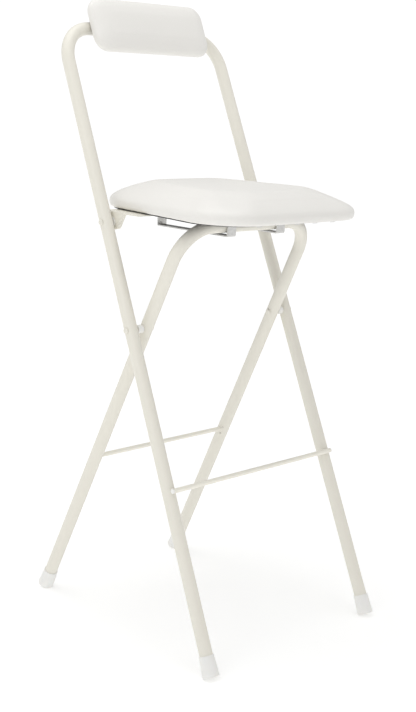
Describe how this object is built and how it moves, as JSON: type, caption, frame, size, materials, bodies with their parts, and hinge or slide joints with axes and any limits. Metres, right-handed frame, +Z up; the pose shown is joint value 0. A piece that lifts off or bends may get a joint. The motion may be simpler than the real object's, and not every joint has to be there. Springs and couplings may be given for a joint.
{
  "type": "folding bar stool",
  "caption": "Tall folding stool with a padded seat, a padded backrest, a footrest rod and two crossed tube frames",
  "frame": {"origin": "on the floor, under the middle of the open stool's bounding box", "axes": "+Z up, front of the stool towards -Y, backrest towards +Y, +X to the right as seen from the front"},
  "size_m": [0.4196, 0.4798, 1.0499],
  "materials": {
    "frame_paint": "semi-gloss powder coat",
    "strap_steel": "galvanised, satin",
    "zinc_steel": "bright zinc",
    "cap_plastic": "milky, soft sheen",
    "seat_leatherette": "soft semi-matt",
    "dark_cloth": "matt non-woven",
    "plywood": "raw",
    "foam": "open cell"
  },
  "bodies": {
    "back_assembly": {"back_frame": "frame_paint", "front_footrest": "frame_paint", "footrest_end_plugs": "cap_plastic", "front_left_foot_cap": "cap_plastic", "front_right_foot_cap": "cap_plastic", "frame_pivot_rivets": "frame_paint", "pivot_spacers": "cap_plastic", "seat_hinge_rivets": "frame_paint", "seat_hinge_washers": "cap_plastic", "backrest_board": "plywood", "backrest_foam": "foam", "backrest_cover": "seat_leatherette", "backrest_back_cloth": "dark_cloth", "backrest_insert_nuts": "zinc_steel", "backrest_screws": "zinc_steel"},
    "rear_assembly": {"rear_leg_frame": "frame_paint", "rear_crossbar": "frame_paint", "rear_left_foot_cap": "cap_plastic", "rear_right_foot_cap": "cap_plastic"},
    "seat_assembly": {"seat_board": "plywood", "seat_foam": "foam", "seat_cover": "seat_leatherette", "seat_underside_cloth": "dark_cloth", "seat_insert_nuts": "zinc_steel", "guide_strap_screws": "zinc_steel", "hinge_bracket_screws": "zinc_steel", "seat_staples": "zinc_steel", "left_guide_strap": "strap_steel", "right_guide_strap": "strap_steel", "left_hinge_bracket": "frame_paint", "right_hinge_bracket": "frame_paint"}
  },
  "joints": [
    {"name": "frame_fold", "type": "hinge", "parent": "back_assembly", "child": "rear_assembly", "pos_m": [0, -0.00211, 0.51751], "axis": [-1, 0, 0], "range_deg": [0, 44]},
    {"name": "seat_fold", "type": "hinge", "parent": "back_assembly", "child": "seat_assembly", "pos_m": [0, 0.07142, 0.685], "axis": [-1, 0, 0], "range_deg": [0, 26.74]}
  ],
  "couplings": [
    {"joint": "seat_fold", "follows": "frame_fold", "ratio": 0.6075}
  ]
}
